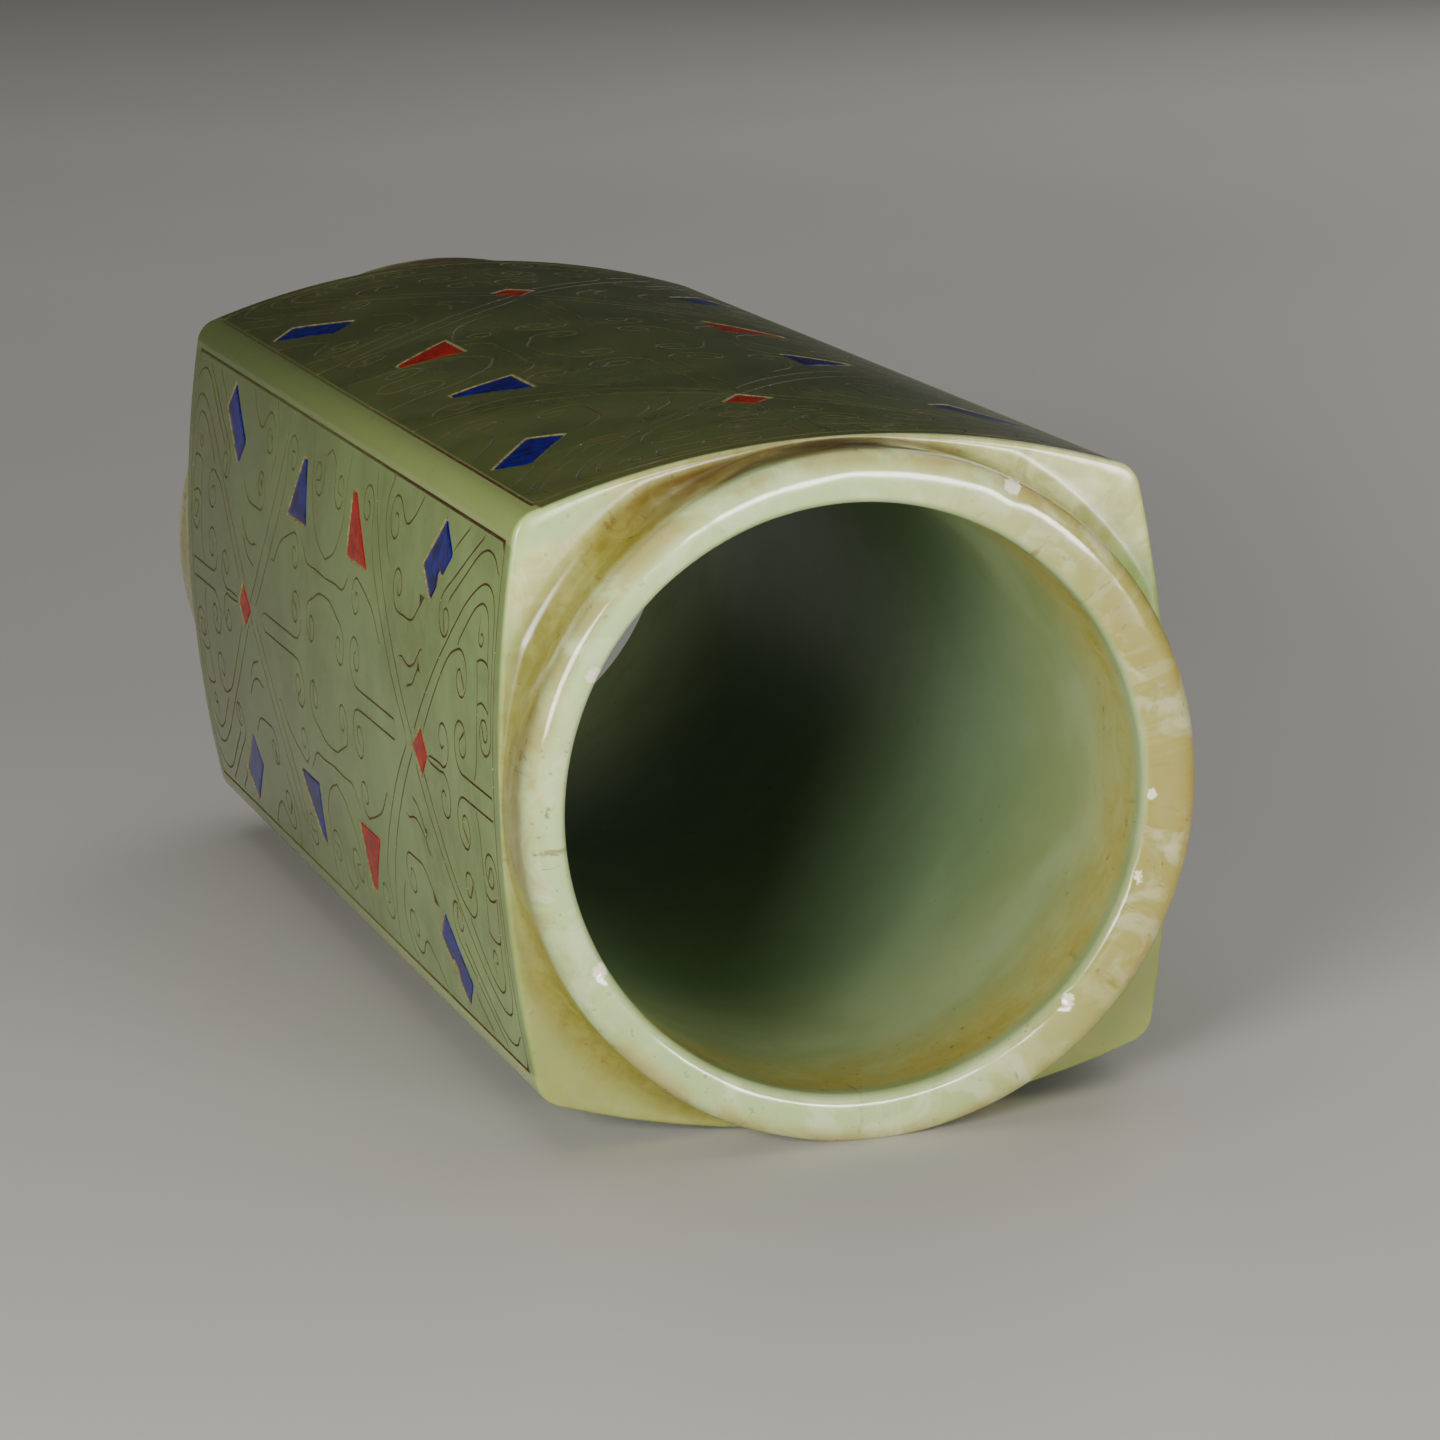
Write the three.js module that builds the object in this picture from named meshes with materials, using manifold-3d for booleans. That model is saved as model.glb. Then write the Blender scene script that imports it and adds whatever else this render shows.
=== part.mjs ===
import * as THREE from 'three';
import { mergeVertices } from 'three/addons/utils/BufferGeometryUtils.js';
import Module from 'manifold-3d';

// A jade cong lying on one face: a tube with a round bore, square outside with swelling faces,
// and a low round collar at each mouth. Lapis and coral stones are let into its four faces.
// The axis runs along Y, Z is up, and the origin is on the ground under the middle of the tube.

const wasm = await Module();
wasm.setup();

// Driving dimensions, in millimetres
const bodyLength = 157;
const collarHeight = 9;
const collarRadius = 33.8;
const collarWall = 5.0;
const boreShift = -0.9;
const crownRise = 0.2;
const flankSwell = 2.8;
const topSwell = 5.5;
const cornerRound = 3.0;
const endEdgeSoftening = 0.5;
const rimOuterRound = 2.0;
const rimInnerRound = 1.1;
const rootFillet = 2.6;
const restFlatDepth = 0.4;

// The incised frame round each decorated panel
const frameInset = 2.5;
const frameLineWidth = 0.5;
const frameLineDepth = 0.35;

// Inlaid stones: how thick they are and the bedding round and under them
const stoneThickness = 1.2;
const beddingGap = 0.3;
const eyeLength = 9.8;
const eyeWidth = 4.7;
const eyeTilt = 36;
const eyeSkew = 13;
const eyeFromEnd = 27.8;
const eyeFromCorner = 8.2;
const noseLength = 6.4;
const noseWidth = 5.0;
const noseTail = 3.8;
const flankNoseFromEnd = 33.4;
const broadNoseFromEnd = 30.0;
const wedgeLength = 9.6;
const wedgeHeight = 7.2;
const wedgeTipLength = 1.6;
const wedgeFromMiddle = 15.2;
const flankWedgeFromCorner = 10.6;
const broadWedgeFromCorner = 13.2;
const wedgeLean = 2.7;
const topPatternShift = 2.4;

// How finely curves are cut into flats
const faceSegments = 16;
const cornerSegments = 4;
const roundSegments = 72;
const filletSegments = 4;
const stoneFacet = 3.6;
const frameFacet = 5;

// Sizes that follow from the ones above
const crown = collarRadius + crownRise;
const boreRadius = collarRadius - collarWall;
const halfBody = bodyLength / 2;
const halfLength = halfBody + collarHeight;
const cornerHalfWidth = crown - flankSwell;
const cornerHalfHeight = crown - topSwell;
const restLevel = crown - restFlatDepth;
const cutterReach = 1;
const coreOverlap = 2;

// The four faces, turned about the axis. Their middles all stand at the crown.
const broadFace = {
  halfChord: cornerHalfWidth,
  swell: topSwell,
  nearWedge: 'lapis',
  farWedge: 'coral',
  noseFromEnd: broadNoseFromEnd,
  wedgeFromCorner: broadWedgeFromCorner,
};
const flankFace = {
  halfChord: cornerHalfHeight,
  swell: flankSwell,
  nearWedge: 'coral',
  farWedge: 'lapis',
  noseFromEnd: flankNoseFromEnd,
  wedgeFromCorner: flankWedgeFromCorner,
};
const faces = [
  { ...broadFace, name: 'top', turn: 0, shift: -topPatternShift },
  { ...flankFace, name: 'right', turn: 90, shift: 0 },
  { ...broadFace, name: 'bottom', turn: 180, shift: 0 },
  { ...flankFace, name: 'left', turn: 270, shift: 0 },
];
for (const face of faces) {
  face.angle = THREE.MathUtils.degToRad(face.turn);
  face.radius = (face.halfChord ** 2 + face.swell ** 2) / (2 * face.swell);
  face.outward = new THREE.Vector2(Math.sin(face.angle), Math.cos(face.angle));
  face.across = new THREE.Vector2(Math.cos(face.angle), -Math.sin(face.angle));
  face.centre = face.outward.clone().multiplyScalar(crown - face.radius);
  face.halfArc = face.radius * Math.asin(face.halfChord / face.radius);
}

const materials = {
  jade: new THREE.MeshStandardMaterial({ color: 0xaab58e, roughness: 0.25, metalness: 0 }),
  lapis: new THREE.MeshStandardMaterial({ color: 0x1f2a8c, roughness: 0.4, metalness: 0 }),
  coral: new THREE.MeshStandardMaterial({ color: 0xc0392b, roughness: 0.4, metalness: 0 }),
};

function solidFrom(geometry) {
  const bare = geometry.index ? geometry.toNonIndexed() : geometry.clone();
  bare.deleteAttribute('normal');
  bare.deleteAttribute('uv');
  const merged = mergeVertices(bare, 1e-4);
  return new wasm.Manifold(new wasm.Mesh({
    numProp: 3,
    vertProperties: new Float32Array(merged.attributes.position.array),
    triVerts: new Uint32Array(merged.index.array),
  }));
}

function geometryFrom(solid) {
  const mesh = solid.getMesh();
  const geometry = new THREE.BufferGeometry();
  geometry.setAttribute('position', new THREE.BufferAttribute(mesh.vertProperties, 3));
  geometry.setIndex(new THREE.BufferAttribute(mesh.triVerts, 1));
  geometry.computeVertexNormals();
  return geometry;
}

function counterClockwise(points) {
  return THREE.ShapeUtils.isClockWise(points) ? points.reverse() : points;
}

// Points of an arc about a centre, from one point's direction to another's the short way round
function arcPoints(centre, radius, from, to, segments) {
  const start = Math.atan2(from.y - centre.y, from.x - centre.x);
  let sweep = Math.atan2(to.y - centre.y, to.x - centre.x) - start;
  sweep = Math.atan2(Math.sin(sweep), Math.cos(sweep));
  const points = [];
  for (let i = 0; i <= segments; i += 1) {
    const angle = start + (sweep * i) / segments;
    points.push(new THREE.Vector2(
      centre.x + radius * Math.cos(angle),
      centre.y + radius * Math.sin(angle),
    ));
  }
  return points;
}

// A quarter of a circle in a turned profile, from one side of its centre to the next
function quarterRound(centre, radius, [fromX, fromY], [toX, toY]) {
  const from = new THREE.Vector2(centre.x + radius * fromX, centre.y + radius * fromY);
  const to = new THREE.Vector2(centre.x + radius * toX, centre.y + radius * toY);
  return arcPoints(centre, radius, from, to, filletSegments);
}

// The centre of the rounding that touches two neighbouring face arcs from inside
function cornerCentre(faceA, faceB) {
  const between = faceB.centre.clone().sub(faceA.centre);
  const gap = between.length();
  const reachA = faceA.radius - cornerRound;
  const reachB = faceB.radius - cornerRound;
  const along = (gap ** 2 + reachA ** 2 - reachB ** 2) / (2 * gap);
  const aside = Math.sqrt(reachA ** 2 - along ** 2);
  const direction = between.divideScalar(gap);
  const choices = [1, -1].map((side) => new THREE.Vector2(
    faceA.centre.x + direction.x * along - side * direction.y * aside,
    faceA.centre.y + direction.y * along + side * direction.x * aside,
  ));
  const corner = faceA.outward.clone().add(faceB.outward);
  return choices.sort((p, q) => q.dot(corner) - p.dot(corner))[0];
}

function touchPoint(face, centre) {
  return centre.clone().sub(face.centre).setLength(face.radius).add(face.centre);
}

// The cross-section, seen along the axis: four swelling faces joined by small roundings
function sectionOutline() {
  const outline = [];
  faces.forEach((face, index) => {
    const next = faces[(index + 1) % faces.length];
    const before = faces[(index + faces.length - 1) % faces.length];
    const corner = cornerCentre(face, next);
    const start = touchPoint(face, cornerCentre(before, face));
    const end = touchPoint(face, corner);
    const nextStart = touchPoint(next, corner);
    outline.push(...arcPoints(face.centre, face.radius, start, end, faceSegments).slice(0, -1));
    outline.push(...arcPoints(corner, cornerRound, end, nextStart, cornerSegments).slice(0, -1));
  });
  return counterClockwise(outline);
}

function sectionPrism(length, edgeSoftening, inset) {
  const outline = grown(sectionOutline(), -inset);
  const geometry = new THREE.ExtrudeGeometry(new THREE.Shape(outline), {
    depth: length - 2 * edgeSoftening,
    bevelEnabled: edgeSoftening > 0,
    bevelThickness: edgeSoftening,
    bevelSize: edgeSoftening,
    bevelOffset: -edgeSoftening,
    bevelSegments: 1,
  });
  geometry.rotateX(Math.PI / 2);
  geometry.translate(0, length / 2 - edgeSoftening, 0);
  return solidFrom(geometry);
}

// A profile from one end of the axis to the middle is mirrored to give the other end
function revolved(halfProfile, aside = 0) {
  const mirrored = halfProfile.map((p) => new THREE.Vector2(p.x, -p.y)).reverse();
  const profile = [...halfProfile, ...mirrored];
  return solidFrom(new THREE.LatheGeometry(profile, roundSegments).translate(aside, 0, 0));
}

// Both collars on one core, which is narrower where it runs inside the body
function collarSolid() {
  const rimCentre = new THREE.Vector2(collarRadius - rimOuterRound, -halfLength + rimOuterRound);
  return revolved([
    new THREE.Vector2(0, -halfLength),
    ...quarterRound(rimCentre, rimOuterRound, [0, -1], [1, 0]),
    new THREE.Vector2(collarRadius, -halfBody + coreOverlap),
    new THREE.Vector2(collarRadius - coreOverlap, -halfBody + coreOverlap),
  ]);
}

// The hollow roundings that carry the collars down onto the shoulders, cut off at the face edges
function rootFlares() {
  const filletCentre = new THREE.Vector2(collarRadius + rootFillet, -halfBody - rootFillet);
  return revolved([
    new THREE.Vector2(0, filletCentre.y),
    ...quarterRound(filletCentre, rootFillet, [-1, 0], [0, 1]),
    new THREE.Vector2(filletCentre.x, -halfBody + endEdgeSoftening),
    new THREE.Vector2(collarRadius - coreOverlap, -halfBody + coreOverlap),
  ]).intersect(sectionPrism(2 * halfLength, 0, endEdgeSoftening));
}

// The bore, a little aside from the middle, as it was drilled
function boreSolid() {
  const lipCentre = new THREE.Vector2(boreRadius + rimInnerRound, -halfLength + rimInnerRound);
  return revolved([
    new THREE.Vector2(0, -halfLength - cutterReach),
    new THREE.Vector2(lipCentre.x, -halfLength - cutterReach),
    ...quarterRound(lipCentre, rimInnerRound, [0, -1], [-1, 0]),
  ], boreShift);
}

function groundCutter() {
  const side = 4 * halfLength;
  const geometry = new THREE.BoxGeometry(side, side, side);
  geometry.translate(0, 0, -restLevel - side / 2);
  return solidFrom(geometry);
}

// A place on a face: across it along its arc, along the tube from the near shoulder, and below it
function onFace(face, across, along, depth) {
  const swing = across / face.radius;
  const reach = face.radius - depth;
  const sideways = reach * Math.sin(swing);
  const outward = crown - face.radius + reach * Math.cos(swing);
  return new THREE.Vector3(
    face.across.x * sideways + face.outward.x * outward,
    along - halfBody,
    face.across.y * sideways + face.outward.y * outward,
  );
}

// More points on the edges that run across a face, so that a shape bends with it
function bentEdges(outline) {
  return outline.flatMap((point, index) => {
    const next = outline[(index + 1) % outline.length];
    const steps = Math.max(1, Math.round(Math.abs(next.x - point.x) / stoneFacet));
    return Array.from({ length: steps }, (_, i) => point.clone().lerp(next, i / steps));
  });
}

// A flat shape drawn on a face, one unit thick, is bent onto it from one depth to another
function bentOnto(face, geometry, upperDepth, lowerDepth) {
  const position = geometry.attributes.position;
  for (let i = 0; i < position.count; i += 1) {
    const depth = THREE.MathUtils.lerp(lowerDepth, upperDepth, position.getZ(i));
    const place = onFace(face, position.getX(i), position.getY(i), depth);
    position.setXYZ(i, place.x, place.y, place.z);
  }
  return solidFrom(geometry);
}

// A solid with straight sides let into a face: its top follows the face, and its foot is flat,
// square to the way out at its middle
function solidOnFace(face, outline, upperDepth, lowerDepth) {
  const shape = new THREE.Shape(bentEdges(outline));
  const geometry = new THREE.ExtrudeGeometry(shape, { depth: 1, bevelEnabled: false });
  const middle = outline.reduce((sum, point) => sum + point.x, 0) / outline.length;
  const swing = middle / face.radius;
  const position = geometry.attributes.position;
  for (let i = 0; i < position.count; i += 1) {
    const aside = position.getX(i) - middle;
    const isTop = position.getZ(i) > 0.5;
    const arch = Math.sqrt(face.radius ** 2 - aside ** 2);
    const reach = isTop ? arch - upperDepth : face.radius - lowerDepth;
    const sideways = reach * Math.sin(swing) + aside * Math.cos(swing);
    const outward = crown - face.radius + reach * Math.cos(swing) - aside * Math.sin(swing);
    position.setXYZ(
      i,
      face.across.x * sideways + face.outward.x * outward,
      position.getY(i) - halfBody,
      face.across.y * sideways + face.outward.y * outward,
    );
  }
  return solidFrom(geometry);
}

// A counter-clockwise outline with every side moved out by the gap, or in where it is negative
function grown(outline, gap) {
  return outline.map((point, index) => {
    const before = outline[(index + outline.length - 1) % outline.length];
    const after = outline[(index + 1) % outline.length];
    const arriving = point.clone().sub(before).normalize();
    const leaving = after.clone().sub(point).normalize();
    const normalA = new THREE.Vector2(arriving.y, -arriving.x);
    const normalB = new THREE.Vector2(leaving.y, -leaving.x);
    const mitre = normalA.clone().add(normalB);
    return point.clone().addScaledVector(mitre, gap / (1 + normalA.dot(normalB)));
  });
}

// One straight cut on a face, given by its middle and its two sides
function lineCut(face, across, along, width, length) {
  const steps = Math.max(1, Math.round(width / frameFacet));
  const geometry = new THREE.BoxGeometry(width, length, 1, steps, 1, 1);
  geometry.translate(across, along, 0.5);
  return bentOnto(face, geometry, -cutterReach, frameLineDepth);
}

function frameCuts(face) {
  const side = face.halfArc - frameInset;
  const end = halfBody - frameInset;
  return [
    lineCut(face, side, halfBody, frameLineWidth, 2 * end + frameLineWidth),
    lineCut(face, -side, halfBody, frameLineWidth, 2 * end + frameLineWidth),
    lineCut(face, 0, halfBody - end, 2 * side, frameLineWidth),
    lineCut(face, 0, halfBody + end, 2 * side, frameLineWidth),
  ];
}

// Stone outlines, about their own middles, for the side and the end where across and along are positive
function eyeOutline() {
  const longSide = new THREE.Vector2(0, eyeLength).rotateAround(
    new THREE.Vector2(), THREE.MathUtils.degToRad(eyeTilt));
  const shortSide = new THREE.Vector2(-eyeWidth, 0).rotateAround(
    new THREE.Vector2(), THREE.MathUtils.degToRad(eyeTilt + eyeSkew));
  return [[-1, -1], [1, -1], [1, 1], [-1, 1]].map(([i, j]) => new THREE.Vector2()
    .addScaledVector(longSide, i / 2)
    .addScaledVector(shortSide, j / 2));
}

function noseOutline() {
  return [
    new THREE.Vector2(0, noseTail - noseLength),
    new THREE.Vector2(noseWidth / 2, 0),
    new THREE.Vector2(0, noseTail),
    new THREE.Vector2(-noseWidth / 2, 0),
  ];
}

function wedgeOutline() {
  const halfLow = wedgeLength / 2;
  const halfHigh = wedgeTipLength / 2;
  return [
    new THREE.Vector2(-wedgeHeight / 2, -halfLow),
    new THREE.Vector2(wedgeHeight / 2, wedgeLean - halfHigh),
    new THREE.Vector2(wedgeHeight / 2, wedgeLean + halfHigh),
    new THREE.Vector2(-wedgeHeight / 2, halfLow),
  ];
}

// A drawn outline is moved to its place and, for the other side or end, mirrored
function placed(outline, across, along, side, end) {
  const points = outline.map((p) => new THREE.Vector2(
    across + side * p.x,
    along + end * p.y,
  ));
  return counterClockwise(points);
}

function stonePlan(face) {
  const stones = [];
  const eyeAcross = face.halfArc - eyeFromCorner;
  const wedgeAcross = face.halfArc - face.wedgeFromCorner;
  [['near', 1, face.nearWedge], ['far', -1, face.farWedge]].forEach(([endName, end, wedgeStone]) => {
    const fromEnd = (distance) => (end > 0 ? distance : bodyLength - distance) + face.shift;
    const fromMiddle = bodyLength / 2 - end * wedgeFromMiddle + face.shift;
    stones.push({
      stone: 'coral',
      name: `coral_nose_${face.name}_${endName}`,
      outline: placed(noseOutline(), 0, fromEnd(face.noseFromEnd), 1, end),
    });
    [['a', 1], ['b', -1]].forEach(([sideName, side]) => {
      stones.push({
        stone: 'lapis',
        name: `lapis_eye_${face.name}_${endName}_${sideName}`,
        outline: placed(eyeOutline(), side * eyeAcross, fromEnd(eyeFromEnd), side, end),
      });
      stones.push({
        stone: wedgeStone,
        name: `${wedgeStone}_wedge_${face.name}_${endName}_${sideName}`,
        outline: placed(wedgeOutline(), side * wedgeAcross, fromMiddle, side, end),
      });
    });
  });
  return stones;
}

function addPiece(group, name, material, solid) {
  const mesh = new THREE.Mesh(geometryFrom(solid), material.clone());
  mesh.name = name;
  group.add(mesh);
}

const cong = new THREE.Group();
cong.position.z = restLevel;

const ground = groundCutter();
let body = sectionPrism(bodyLength, endEdgeSoftening, 0)
  .add(collarSolid())
  .add(rootFlares())
  .subtract(boreSolid())
  .subtract(ground);

for (const face of faces) {
  for (const cut of frameCuts(face)) body = body.subtract(cut);
  for (const plan of stonePlan(face)) {
    const recess = solidOnFace(
      face, grown(plan.outline, beddingGap), -cutterReach, stoneThickness + beddingGap);
    body = body.subtract(recess);
    const stone = solidOnFace(face, plan.outline, 0, stoneThickness).subtract(ground);
    addPiece(cong, plan.name, materials[plan.stone], stone);
  }
}
addPiece(cong, 'jade_body', materials.jade, body);

export default cong;
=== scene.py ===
import math

import bpy
import numpy as np
from mathutils import Matrix, Vector, noise
from mathutils.geometry import convex_hull_2d, delaunay_2d_cdt


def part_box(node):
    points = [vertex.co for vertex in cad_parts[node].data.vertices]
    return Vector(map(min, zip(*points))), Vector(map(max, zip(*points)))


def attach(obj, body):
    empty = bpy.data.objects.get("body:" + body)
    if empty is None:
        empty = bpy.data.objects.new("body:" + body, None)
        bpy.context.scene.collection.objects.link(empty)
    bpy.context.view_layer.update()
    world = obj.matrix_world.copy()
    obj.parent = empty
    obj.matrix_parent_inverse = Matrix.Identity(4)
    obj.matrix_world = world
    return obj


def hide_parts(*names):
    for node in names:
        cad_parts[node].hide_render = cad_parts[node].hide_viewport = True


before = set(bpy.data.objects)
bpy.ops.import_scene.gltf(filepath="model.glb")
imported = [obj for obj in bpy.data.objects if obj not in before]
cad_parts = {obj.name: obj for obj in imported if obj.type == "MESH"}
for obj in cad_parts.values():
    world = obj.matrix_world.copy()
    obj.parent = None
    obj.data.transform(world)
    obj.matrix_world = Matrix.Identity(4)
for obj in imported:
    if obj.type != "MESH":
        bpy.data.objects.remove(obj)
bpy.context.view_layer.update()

# The script works in millimetres and writes its meshes in metres
MM = 0.001

# Sizes of the jade, from the solid and its own small measures
body_high = np.array(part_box("jade_body")[1]) / MM
CROWN = float(body_high[0])
REST_LEVEL = float(body_high[2]) - CROWN
HALF_LENGTH = float(body_high[1])
COLLAR_HEIGHT = 9.0
COLLAR_WALL = 5.0
BORE_SHIFT = -0.9
CROWN_RISE = 0.2
FLANK_SWELL = 2.8
TOP_SWELL = 5.5
CORNER_ROUND = 3.0
END_SOFTENING = 0.5
RIM_OUTER_ROUND = 2.0
RIM_INNER_ROUND = 1.1
RIM_CROWN_TILT = math.radians(8)
ROOT_FILLET = 2.6
SOFT_SHARE = 0.55
FILLET_SHARE = 0.85
BODY_LENGTH = 2 * (HALF_LENGTH - COLLAR_HEIGHT)
COLLAR_RADIUS = CROWN - CROWN_RISE
BORE_RADIUS = COLLAR_RADIUS - COLLAR_WALL

# The incised lines
LINE_WIDTH = 0.29
LINE_DEPTH = 0.11
FRAME_WIDTH = 0.42
FRAME_DEPTH = 0.24
FRAME_INSET = 2.5
FRAME_STEP = 1.2
LINE_STEP = 0.55

# How far the pattern keeps inside the frame line
FRAME_CLEARANCE = 0.12

# Lines are looked for this far along from a group of about so many points
GROOVE_REACH = 1.5
GROOVE_GROUP = 400

# A depth too small to count
LEVEL = 0.001

# How far from its ends a carved face stops, where the softened edge begins
FACE_START = END_SOFTENING + 0.3

# The stones and the paste they sit in
STONE_THICKNESS = 1.2
BEDDING_GAP = 0.3
BEDDING_DROP = 0.13
STONE_ROUNDING = 0.12
STONE_SINK = 0.02
STONE_CLEARANCE = 0.01
STONE_UNEVEN = 0.02
STONE_SPACING = 0.7

# Every point of a stone lies within this distance of its middle
STONE_REACH = 12.0

# Points of a stone of the solid nearer than this, or turning less, are not corners of their own
CORNER_GAP = 0.05
CORNER_TURN = math.radians(4)

# How finely the surfaces are divided
FACE_COLUMNS = 60
CORNER_COLUMNS = 6
STRIP_ROWS = 56
PANEL_SPACING = 2.6


class Face:
    """One swelling face of the tube: places on it are across, along and below."""

    def __init__(self, name, turn, half_chord, swell):
        self.name = name
        angle = math.radians(turn)
        self.radius = (half_chord ** 2 + swell ** 2) / (2 * swell)
        self.outward = np.array([math.sin(angle), math.cos(angle)])
        self.across = np.array([math.cos(angle), -math.sin(angle)])
        self.facing = np.array([self.outward[0], 0, self.outward[1]])
        self.centre = self.outward * (CROWN - self.radius)
        self.half_arc = self.radius * math.asin(half_chord / self.radius)

    def normal(self, across):
        swing = np.asarray(across, float)[..., None] / self.radius
        return np.sin(swing) * self.across + np.cos(swing) * self.outward

    def place(self, across, along, depth=0.0):
        reach = self.radius - np.asarray(depth, float)
        flat = self.centre + reach[..., None] * self.normal(across)
        along = np.broadcast_to(np.asarray(along, float), flat.shape[:-1])
        height = flat[..., 1] + REST_LEVEL
        return np.stack([flat[..., 0], along - BODY_LENGTH / 2, height], -1)

    def unroll(self, points):
        """The across, along and depth of points on or near this face."""
        flat = np.stack([points[:, 0], points[:, 2] - REST_LEVEL], -1) - self.centre
        sideways, upright = flat @ self.across, flat @ self.outward
        across = self.radius * np.arctan2(sideways, upright)
        depth = self.radius - np.hypot(sideways, upright)
        return np.stack([across, points[:, 1] + BODY_LENGTH / 2, depth], -1)


CORNER_X = CROWN - FLANK_SWELL
CORNER_Z = CROWN - TOP_SWELL
FACES = [
    Face("top", 0, CORNER_X, TOP_SWELL),
    Face("right", 90, CORNER_Z, FLANK_SWELL),
    Face("bottom", 180, CORNER_X, TOP_SWELL),
    Face("left", 270, CORNER_Z, FLANK_SWELL),
]


def corner_centre(face_a, face_b):
    """The centre of the rounding that touches two neighbouring faces from inside."""
    between = face_b.centre - face_a.centre
    gap = np.linalg.norm(between)
    reach_a, reach_b = face_a.radius - CORNER_ROUND, face_b.radius - CORNER_ROUND
    along = (gap ** 2 + reach_a ** 2 - reach_b ** 2) / (2 * gap)
    aside = math.sqrt(reach_a ** 2 - along ** 2)
    way = between / gap
    corner = face_a.outward + face_b.outward
    choices = [
        face_a.centre + way * along + side * aside * np.array([-way[1], way[0]])
        for side in (1, -1)
    ]
    return max(choices, key=lambda point: float(point @ corner))


for index, face in enumerate(FACES):
    centre = corner_centre(face, FACES[(index + 1) % 4])
    toward = centre - face.centre
    face.side = face.radius * math.atan2(toward @ face.across, toward @ face.outward)


class MeshDraft:
    """Points, faces and what the materials read of them, gathered before the mesh is made."""

    def __init__(self):
        self.points = []
        self.faces = []
        self.slots = []
        self.normals = []
        self.marks = {}
        self.count = 0

    def add_points(self, points):
        points = np.asarray(points, float).reshape(-1, 3)
        ids = np.arange(self.count, self.count + len(points))
        self.points.append(points)
        self.count += len(points)
        return ids

    def add_face(self, corners, slot=0, normals=None):
        self.faces.append([int(c) for c in corners])
        self.slots.append(slot)
        self.normals.append(normals)

    def add_oriented(self, corners, positions, reference, slot=0, normals=None):
        """A face turned so that it looks the way of the reference."""
        a, b, c = positions[:3]
        facing = np.cross(b - a, c - a) @ np.asarray(reference)
        if facing < 0:
            corners = list(corners)[::-1]
            normals = None if normals is None else normals[::-1]
        self.add_face(corners, slot, normals)

    def add_ring_grid(self, rows):
        """Quads between closed rings."""
        for upper, lower in zip(rows, rows[1:]):
            following = np.roll(np.arange(len(upper)), -1)
            for i, j in enumerate(following):
                self.add_face((upper[i], lower[i], lower[j], upper[j]))

    def mark(self, ids, name, values):
        self.marks.setdefault(name, []).append((ids, values))

    def attribute(self, name):
        values = np.zeros(self.count)
        for ids, marked in self.marks.get(name, []):
            values[ids] = marked
        return values

    def build(self, name, materials):
        points = np.concatenate(self.points)
        points[:, 2] = np.maximum(points[:, 2], 0)
        mesh = bpy.data.meshes.new(name)
        mesh.from_pydata((points * MM).tolist(), [], self.faces)
        for material in materials:
            mesh.materials.append(material)
        mesh.polygons.foreach_set("material_index", np.array(self.slots, np.int32))
        mesh.polygons.foreach_set("use_smooth", np.ones(len(self.faces), bool))
        mesh.update()
        if any(n is not None for n in self.normals):
            loop_normals = []
            for corners, normals in zip(self.faces, self.normals):
                loop_normals.extend([(0, 0, 0)] * len(corners) if normals is None else normals)
            mesh.normals_split_custom_set(loop_normals)
        for name_of_mark in self.marks:
            layer = mesh.attributes.new(name_of_mark, "FLOAT", "POINT")
            layer.data.foreach_set("value", self.attribute(name_of_mark))
        thing = bpy.data.objects.new(name, mesh)
        bpy.context.scene.collection.objects.link(thing)
        return thing


# The section and the ends

def unit(vectors):
    """Rows of vectors, each made one long."""
    return vectors / np.linalg.norm(vectors, axis=1)[:, None]


def section_columns():
    """The section's points and normals in order round the tube, and which columns each face has."""
    points, normals, spans = [], [], []
    for index, face in enumerate(FACES):
        start = len(points)
        for across in np.linspace(-face.side, face.side, FACE_COLUMNS + 1):
            points.append(face.centre + face.radius * face.normal(across))
            normals.append(face.normal(across))
        spans.append((start, len(points) - 1))
        following = FACES[(index + 1) % 4]
        centre = corner_centre(face, following)
        from_normal, to_normal = face.normal(face.side), following.normal(-following.side)
        sweep = math.acos(float(from_normal @ to_normal))
        for step in range(1, CORNER_COLUMNS):
            share = step / CORNER_COLUMNS
            normal = (
                math.sin((1 - share) * sweep) * from_normal + math.sin(share * sweep) * to_normal
            ) / math.sin(sweep)
            points.append(centre + CORNER_ROUND * normal)
            normals.append(normal)
    return np.array(points), np.array(normals), spans


SECTION, SECTION_NORMALS, SPANS = section_columns()
DIRECTIONS = unit(SECTION)
SPARE = np.linalg.norm(SECTION, axis=1) - COLLAR_RADIUS
SOFT = np.minimum(END_SOFTENING, SOFT_SHARE * SPARE)
FILLET = np.minimum(ROOT_FILLET, FILLET_SHARE * (SPARE - SOFT))


def row_at(flat, along, aside=0.0):
    """A ring of points: its x and z for every column, and how far along the axis it is."""
    along = np.broadcast_to(np.asarray(along, float), len(flat))
    return np.stack([flat[:, 0] + aside, along, flat[:, 1] + REST_LEVEL], -1)


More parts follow.
